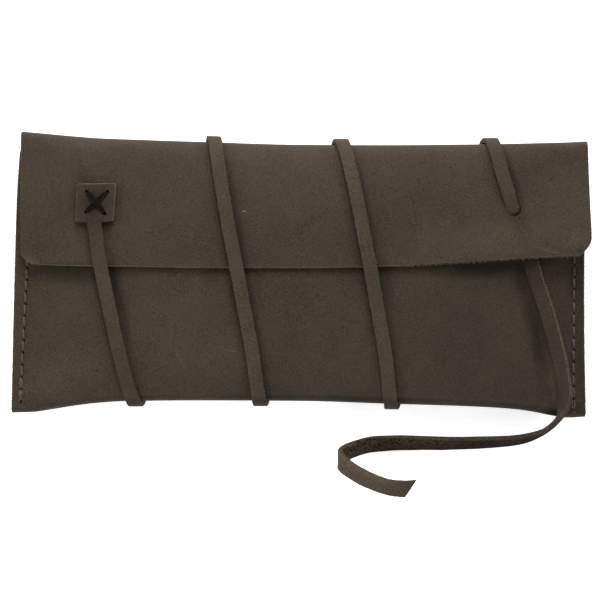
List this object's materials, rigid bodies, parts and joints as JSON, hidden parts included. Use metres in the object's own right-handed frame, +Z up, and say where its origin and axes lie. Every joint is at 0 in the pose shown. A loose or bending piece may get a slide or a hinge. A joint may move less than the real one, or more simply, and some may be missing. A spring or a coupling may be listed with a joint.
{
  "type": "toiletry pouch",
  "caption": "Flat folded pouch of thick brown leather with a flap, wound shut by a long leather strap.",
  "frame": {"origin": "centre of the pouch's outline, on the surface it lies on, without the strap's loose end", "axes": "+X along the width to the right, +Y from the bottom fold up to the top fold, +Z up out of the front; the strap's turns behind the pouch lie on z = 0"},
  "size_m": [0.2434, 0.1545, 0.0239],
  "materials": {
    "body_leather": "matt oiled nubuck, dark grey-brown",
    "flap_leather": "matt oiled nubuck, dark grey-brown, raw lower edge",
    "strap_leather": "matt oiled nubuck, raw cut edges",
    "strap_tail_leather": "matt outside, fuzzy darker flesh side",
    "dark_thread": "waxed thread"
  },
  "bodies": {
    "root": {"pocket": "body_leather", "flap": "flap_leather", "wrap_strap": "strap_leather", "strap_tail": "strap_tail_leather", "cross_stitch": "dark_thread"}
  },
  "joints": []
}
